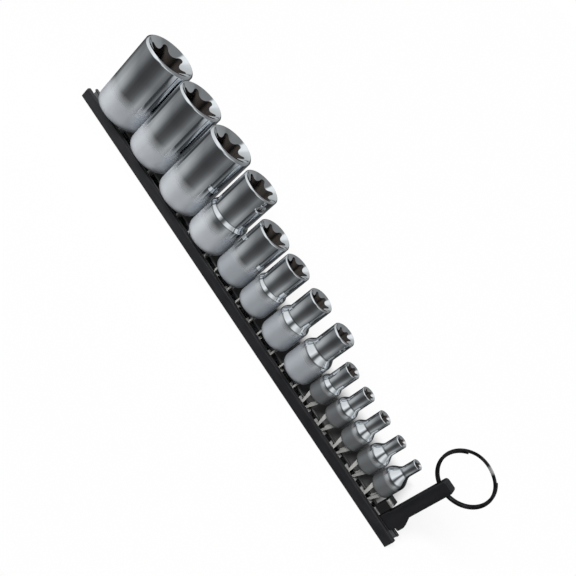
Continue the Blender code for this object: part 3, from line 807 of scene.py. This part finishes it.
def make_socket(size, own, materials):
    """A turned socket, with its cross hole cut into the drive end."""
    node = f"socket_{size}"
    drive = DRIVES[own["drive"]]
    low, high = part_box(node)
    mesh = socket_mesh(f"{node}_body", own, drive, size != LOBE_SOCKET)
    piece = object_from(f"{node}_turned", mesh, materials)
    barrel = (high.x - low.x) / 2
    reach = barrel + CUT_OVERRUN
    turn = Matrix.Rotation(math.pi / 2, 4, "X")
    middle = (0.0, HOLE_SIDE * reach / 2, drive["post_height"] / 2)
    hole = cylinder_cutter(f"{node}_hole", drive["hole_diameter"] / 2, reach, HOLE_STEPS,
                           Matrix.Translation(middle) @ turn)
    combine(piece, hole, "DIFFERENCE")
    base = high.z - drive["length"]
    piece.data.transform(Matrix.Translation(((low.x + high.x) / 2, 0.0, base)))
    stand_for(piece, node)


def foot_level(thickness):
    """The middle of a strip that lies under the rail's lips."""
    return RAIL_HEIGHT - RAIL_WALL - SEAT_GAP - thickness / 2


def foot_width():
    return RAIL_WIDTH - 2 * RAIL_WALL - 2 * SEAT_GAP


def neck_width():
    return SLOT_WIDTH - 2 * SEAT_GAP


def bent_strip(name, stations, thickness, bend_radius, materials):
    """A strip of steel: each station gives its middle (x, z) and its width."""
    rows = [[(across, -width / 2, up), (across, width / 2, up)]
            for across, up, width in stations]
    piece = object_from(name, ribbon(name, rows), materials)
    add_bevel(piece, "bends", bend_radius, STRIP_BEND_STEPS, FOLD_ANGLE)
    solidify = piece.modifiers.new("thickness", "SOLIDIFY")
    solidify.thickness = thickness
    solidify.offset = 0.0
    solidify.use_even_offset = True
    add_bevel(piece, "edges", FINE_EDGE, FINE_STEPS, EDGE_ANGLE)
    return settle(piece)


def mirrored(stations):
    return stations + [(-across, up, width) for across, up, width in reversed(stations)]


def add_cheeks(piece, foot, ledge, strip, width):
    """Flanges folded off a splayed clip's legs, front and back."""
    shape = bmesh.new()
    shape.from_mesh(piece.data)
    for side in (-1, 1):
        for face in (-1, 1):
            rows = []
            for depth in (width / 2 - strip, width / 2):
                spots = [(foot[0] - CHEEK_LOW, depth + CHEEK_LEAN, foot[1]),
                         (foot[0] + strip / 2, depth, foot[1]),
                         (ledge[0] + strip / 2, depth, ledge[1]),
                         (ledge[0] - CHEEK_HIGH, depth + CHEEK_LEAN, ledge[1])]
                rows.append([shape.verts.new((side * across, face * along, up))
                             for across, along, up in spots])
            shape.faces.new(rows[0])
            shape.faces.new(rows[1])
            bridge(shape, *rows)
    bmesh.ops.recalc_face_normals(shape, faces=shape.faces)
    shape.to_mesh(piece.data)
    shape.free()
    smooth(piece.data)


def make_clip(size, own, materials):
    """A bent strip: feet under the rail's lips, a collar, and a post for the socket."""
    node = f"clip_{size}"
    drive = DRIVES[own["drive"]]
    strip = drive["strip"]
    width = drive["strip_width"]
    neck = neck_width()
    post = drive["square"] / 2 - POST_SIDE_PLAY - strip / 2
    low, high = drive["collar_low"], drive["collar_high"]
    foot = foot_level(strip)
    collar_top = RAIL_HEIGHT + drive["collar_height"]
    ledge = collar_top - SEAT_GAP - strip / 2
    above_rail = RAIL_HEIGHT + SEAT_GAP
    top = collar_top + drive["post_height"] - strip / 2
    detent = (ledge + top) / 2
    # The feet turn in under the collar where they fit, and out where they don't
    outward = -1 if low > FOOT_LENGTH + FOOT_TAB else 1
    bend = outward * (CLIP_BEND_RADIUS + strip / 2)
    half = [
        (-(low + outward * FOOT_LENGTH), foot, foot_width()),
        (-(low + bend), foot, foot_width()),
        (-(low + bend - outward * SEAT_GAP), foot, neck),
        (-low, foot, neck),
        (-low, above_rail, neck),
        (-low, above_rail + strip, max(width, neck)),
        (-high, ledge, max(width, neck)),
        (-post, ledge, width),
        (-post, detent - strip, width),
        (-(post + DETENT_BULGE), detent, width),
        (-post, detent + strip, width),
        (-post, top, width),
    ]
    piece = bent_strip(f"{node}_bent", mirrored(half), strip, CLIP_BEND_RADIUS, materials)
    if high > low:
        add_cheeks(piece, (low, above_rail), (high, ledge), strip, width)
    piece.data.transform(Matrix.Translation((middle_of(node).x, 0.0, 0.0)))
    stand_for(piece, node)


def make_stop(materials):
    """A staple across the rail: feet under its lips, a neck in its slot, a box above."""
    low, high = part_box("stop_clip")
    foot = foot_level(STOP_STRIP)
    ledge = RAIL_HEIGHT + SEAT_GAP + STOP_STRIP / 2
    neck = (neck_width() - STOP_STRIP) / 2
    side = (STOP_ACROSS - STOP_STRIP) / 2
    half = [
        (-foot_width() / 2, foot, STOP_LENGTH),
        (-neck, foot, STOP_LENGTH),
        (-neck, ledge, STOP_LENGTH),
        (-side, ledge, STOP_LENGTH),
        (-side, high.z - STOP_STRIP / 2, STOP_LENGTH),
    ]
    piece = bent_strip("stop_clip_bent", mirrored(half), STOP_STRIP, STOP_BEND_RADIUS,
                       materials)
    turn = Matrix.Rotation(math.pi / 2, 4, "Z")
    piece.data.transform(Matrix.Translation(((low.x + high.x) / 2, 0.0, 0.0)) @ turn)
    stand_for(piece, "stop_clip")


def make_rail(materials):
    """A folded channel with a slot along its top: painted outside, bare inside."""
    low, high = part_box("rail")
    half = RAIL_WIDTH / 2
    section = [(-SLOT_WIDTH / 2, RAIL_HEIGHT), (-half, RAIL_HEIGHT), (-half, 0.0),
               (half, 0.0), (half, RAIL_HEIGHT), (SLOT_WIDTH / 2, RAIL_HEIGHT)]
    rows = [[(low.x, across, up), (high.x, across, up)] for across, up in section]
    piece = object_from("rail_folded", ribbon("rail_folded", rows), materials)
    add_bevel(piece, "folds", RAIL_BEND_RADIUS, RAIL_BEND_STEPS, FOLD_ANGLE)
    solidify = piece.modifiers.new("wall", "SOLIDIFY")
    solidify.thickness = RAIL_WALL
    solidify.use_even_offset = True
    solidify.offset = -1.0
    solidify.material_offset = 1
    add_bevel(piece, "edges", FINE_EDGE, FINE_STEPS, EDGE_ANGLE)
    settle(piece)
    stand_for(piece, "rail")


def bar_outline():
    """The hanger seen from the front: undercut block, gusset, bar and rounded tip."""
    half_block = BLOCK_LENGTH / 2
    low = RAIL_HEIGHT + SEAT_GAP
    block_top = low + BLOCK_HEIGHT
    tip = RAIL_HEIGHT + BAR_HEIGHT
    left = -half_block + BAR_SETBACK
    right = left + BAR_WIDTH
    tip_low = tip - BAR_TIP_RADIUS
    outline = [(-half_block, low), (half_block - UNDERCUT_LENGTH, low),
               (half_block - UNDERCUT_LENGTH, low + UNDERCUT_HEIGHT),
               (half_block, low + UNDERCUT_HEIGHT), (half_block, block_top + GUSSET_LAND),
               (right, block_top + GUSSET_HEIGHT)]
    outline += arc((right - BAR_TIP_RADIUS, tip_low), BAR_TIP_RADIUS, 0.0, math.pi / 2,
                   BAR_TIP_STEPS)
    outline += arc((left + BAR_TIP_RADIUS, tip_low), BAR_TIP_RADIUS, math.pi / 2, math.pi,
                   BAR_TIP_STEPS)
    outline += [(left, block_top), (-half_block, block_top - BAR_SETBACK)]
    return outline


def flat_solid(name, outline, half_thickness, matrix):
    shape = bmesh.new()
    front = [shape.verts.new(matrix @ Vector((x, y, half_thickness))) for x, y in outline]
    back = [shape.verts.new(matrix @ Vector((x, y, -half_thickness))) for x, y in outline]
    shape.faces.new(front)
    shape.faces.new(list(reversed(back)))
    bridge(shape, front, back)
    return finish_mesh(shape, name)


def make_hanger(materials):
    """A moulded bar with an eye, and a T-shaped tongue in the rail's slot."""
    upright = Matrix.Rotation(math.pi / 2, 4, "X")
    mesh = flat_solid("hanger_bar", bar_outline(), BAR_THICKNESS / 2, upright)
    piece = object_from("hanger_moulded", mesh, materials)
    add_bevel(piece, "edges", BAR_EDGE_RADIUS, BAR_EDGE_STEPS, FOLD_ANGLE)
    neck = neck_width() / 2
    foot = foot_width() / 2
    foot_top = RAIL_HEIGHT - RAIL_WALL - SEAT_GAP
    foot_low = foot_top - FOOT_THICKNESS
    neck_top = RAIL_HEIGHT + SEAT_GAP + BLOCK_HEIGHT / 2
    section = [(-foot, foot_low), (foot, foot_low), (foot, foot_top), (neck, foot_top),
               (neck, neck_top), (-neck, neck_top), (-neck, foot_top), (-foot, foot_top)]
    along = Matrix(((0.0, 0.0, 1.0, 0.0), (1.0, 0.0, 0.0, 0.0),
                    (0.0, 1.0, 0.0, 0.0), (0.0, 0.0, 0.0, 1.0)))
    mesh = flat_solid("hanger_tongue", section, HANGER_FOOT_LENGTH / 2, along)
    tongue = object_from("hanger_tongue", mesh, [])
    combine(piece, tongue, "UNION")
    turn = Matrix.Rotation(math.pi / 2, 4, "Y")
    eye_height = RAIL_HEIGHT + BAR_HEIGHT - EYE_TO_TIP
    at = Matrix.Translation((0.0, 0.0, eye_height)) @ turn
    eye = cylinder_cutter("hanger_eye", EYE_DIAMETER / 2, BLOCK_LENGTH * 2, EYE_STEPS, at)
    combine(piece, eye, "DIFFERENCE")
    piece.data.transform(Matrix.Translation((middle_of("hanger").x, 0.0, 0.0)))
    stand_for(piece, "hanger")


def ring_loops():
    """Sections of the wire along its nearly double turn, in the ring's own plane."""
    layer = (RING_WIRE_THICKNESS + RING_COIL_GAP) / 2
    climb_middle = math.pi + RING_STEP_ANGLE
    first = climb_middle + RING_CLIMB_ANGLE / 2 + RING_END_GAP_ANGLE - 2 * math.pi
    last = climb_middle - RING_CLIMB_ANGLE / 2 - RING_END_GAP_ANGLE + 2 * math.pi
    count = round(RING_TURN_STEPS * (last - first) / (2 * math.pi))
    power = 2 / RING_SQUARENESS
    loops = []
    for index in range(count + 1):
        angle = first + (last - first) * index / count
        share = min(max((angle - climb_middle) / RING_CLIMB_ANGLE + 0.5, 0.0), 1.0)
        height = layer * (2 * share * share * (3 - 2 * share) - 1)
        loop = []
        for step in range(RING_SIDE_STEPS):
            side = 2 * math.pi * step / RING_SIDE_STEPS
            wide = math.copysign(abs(math.cos(side)) ** power, math.cos(side))
            thick = math.copysign(abs(math.sin(side)) ** power, math.sin(side))
            radius = RING_MEAN_RADIUS + wide * RING_WIRE_WIDTH / 2
            loop.append((radius * math.sin(angle), height + thick * RING_WIRE_THICKNESS / 2,
                         -radius * math.cos(angle)))
        loops.append(loop)
    return loops


def ring_place():
    """From the ring's own plane to where it hangs in the eye."""
    reach = BAR_WIDTH / 2 + RING_SHIFT
    sag = RING_MEAN_RADIUS - math.sqrt(RING_MEAN_RADIUS ** 2 - reach ** 2)
    raised = Matrix.Translation((0.0, 0.0, RING_MEAN_RADIUS - sag / 2))
    tilt = Matrix.Rotation(RING_TILT, 4, "X")
    eye = (middle_of("split_ring").x, 0.0, RAIL_HEIGHT + BAR_HEIGHT - EYE_TO_TIP)
    return Matrix.Translation(eye) @ tilt @ raised


def ring_spot(angle):
    """The point at that angle on the ring's mean circle, where the ring hangs."""
    across = RING_MEAN_RADIUS * math.sin(angle)
    up = -RING_MEAN_RADIUS * math.cos(angle)
    return ring_place() @ Vector((across, 0.0, up))


def make_ring(materials):
    """A split ring of flattened wire, hanging in the hanger's eye."""
    mesh = tube("split_ring_wire", ring_loops())
    mesh.transform(ring_place())
    smooth(mesh)
    piece = object_from("split_ring_wire", mesh, materials)
    stand_for(piece, "split_ring")


def make_world():
    """White for the camera, and a studio with bright and dark sides for metal."""
    world = bpy.data.worlds.new("studio")
    world.use_nodes = True
    bpy.context.scene.world = world
    world.node_tree.nodes.clear()
    tree = Tree(world.node_tree)
    direction = tree.add("ShaderNodeTexCoord").outputs["Generated"]
    parts = tree.add("ShaderNodeSeparateXYZ", {"Vector": direction})
    turn = tree.math("ARCTAN2", parts.outputs["Y"], parts.outputs["X"])
    turn = tree.span(turn, -math.pi, math.pi, 0.0, 1.0)
    height = parts.outputs["Z"]

    def sides(ring):
        places = [(angle + 180) / 360 for angle, tone in ring]
        return tree.ramp(turn, places, [tone for angle, tone in ring])

    def above(heights):
        return tree.span(height, *heights, 0.0, 1.0)

    low = sides(LOW_SIDES)
    high = sides(HIGH_SIDES)
    horizon = tree.mix(HORIZON_SHARE, low, HORIZON)
    seen = tree.mix(above(HORIZON_FROM), low, horizon)
    seen = tree.mix(above(HIGH_FROM), seen, high)
    seen = tree.mix(above(TOP_FROM), seen, sides(TOP_SIDES))
    seen = tree.mix(above(ZENITH_FROM), seen, ZENITH)
    seen = tree.mix(1.0, seen, STUDIO_TINT, "MULTIPLY")

    path = tree.add("ShaderNodeLightPath")
    reflected = tree.add("ShaderNodeBackground", {"Color": seen, "Strength": 1.0})
    soft = tree.add("ShaderNodeBackground", {"Color": WHITE, "Strength": DIFFUSE_WORLD})
    white = tree.add("ShaderNodeBackground", {"Color": WHITE, "Strength": 1.0})
    clear = tree.math("MAXIMUM", path.outputs["Is Camera Ray"],
                      path.outputs["Is Transmission Ray"])
    indirect = tree.add("ShaderNodeMixShader", {
        0: path.outputs["Is Glossy Ray"], 1: soft.outputs[0], 2: reflected.outputs[0],
    })
    surface = tree.add("ShaderNodeMixShader", {
        0: clear, 1: indirect.outputs[0], 2: white.outputs[0],
    })
    output = tree.add("ShaderNodeOutputWorld")
    tree.links.new(surface.outputs[0], output.inputs["Surface"])


def make_floor():
    """A floor that is white for the camera and throws less light back at the set.

    Behind the rail it is darker, as between the sockets in the photograph.
    """
    shape = bmesh.new()
    bmesh.ops.create_grid(shape, x_segments=1, y_segments=1, size=FLOOR_SIZE / 2)
    floor = object_from("floor", finish_mesh(shape, "floor"), [])
    floor.location.z = -FLOOR_DROP
    material = bpy.data.materials.new("floor_pale")
    material.use_nodes = True
    tree = Tree(material.node_tree)
    material.node_tree.nodes.clear()
    path = tree.add("ShaderNodeLightPath")
    coords = tree.add("ShaderNodeTexCoord").outputs["Object"]
    place = tree.add("ShaderNodeSeparateXYZ", {"Vector": coords})
    along = tree.math("ABSOLUTE", tree.math("SUBTRACT", place.outputs["X"], SHADE_MIDDLE))
    clear = tree.span(along, *SHADE_ALONG, 0.0, 1.0)
    clear = tree.math("MAXIMUM", clear, tree.span(place.outputs["Y"], *SHADE_FRONT, 1.0, 0.0))
    clear = tree.math("MAXIMUM", clear, tree.span(place.outputs["Y"], *SHADE_BACK, 0.0, 1.0))
    tone = tree.span(clear, 0.0, 1.0, SHADE_TONE, FLOOR_TONE)
    tone = tree.span(path.outputs["Is Camera Ray"], 0.0, 1.0, FLOOR_BOUNCE, tone)
    matte = tree.add("ShaderNodeBsdfDiffuse", {"Color": tone})
    glow = tree.add("ShaderNodeEmission", {"Color": WHITE, "Strength": 1.0})
    share = tree.math("MULTIPLY", tree.math("MULTIPLY", clear, FLOOR_GLOW),
                      path.outputs["Is Camera Ray"])
    blend = tree.add("ShaderNodeMixShader", {0: share, 1: matte.outputs[0], 2: glow.outputs[0]})
    output = tree.add("ShaderNodeOutputMaterial")
    tree.links.new(blend.outputs[0], output.inputs["Surface"])
    floor.data.materials.append(material)
    floor.visible_glossy = False


def make_sun():
    light = bpy.data.lights.new("sun", "SUN")
    light.energy = SUN_POWER
    light.angle = SUN_SPREAD
    sun = bpy.data.objects.new("sun", light)
    bpy.context.scene.collection.objects.link(sun)
    towards = Vector((math.cos(SUN_TURN) * math.cos(SUN_RISE),
                      math.sin(SUN_TURN) * math.cos(SUN_RISE), math.sin(SUN_RISE)))
    sun.rotation_euler = towards.to_track_quat("Z", "Y").to_euler()
    sun.visible_glossy = False


def make_camera():
    data = bpy.data.cameras.new("camera")
    data.lens = LENS
    data.sensor_width = SENSOR
    data.clip_start = NEAR_CLIP
    camera = bpy.data.objects.new("camera", data)
    bpy.context.scene.collection.objects.link(camera)
    right, down, forward = map(Vector, (CAMERA_RIGHT, CAMERA_DOWN, CAMERA_FORWARD))
    turn = Matrix((right, -down, -forward)).transposed().to_4x4()
    camera.matrix_world = Matrix.Translation(CAMERA_AT) @ turn
    bpy.context.scene.camera = camera


def main():
    bpy.context.scene.view_settings.view_transform = "Standard"
    make_camera()
    make_world()
    make_floor()
    make_sun()

    plated = {name: plating(f"socket_plating_{name}", drive) for name, drive in DRIVES.items()}
    recess = raw_steel("socket_recess_steel", RECESS_LOOK)
    spring = raw_steel("clip_spring_steel", SPRING_LOOK)
    channel = raw_steel("channel_bare_steel", CHANNEL_LOOK)
    for size, own in SOCKETS.items():
        make_socket(size, own, (plated[own["drive"]], recess))
        make_clip(size, own, (spring,))
    make_stop((stop_steel(),))
    make_rail((rail_paint(), channel))
    make_hanger((moulded_plastic(),))
    make_ring((ring_steel(),))


main()
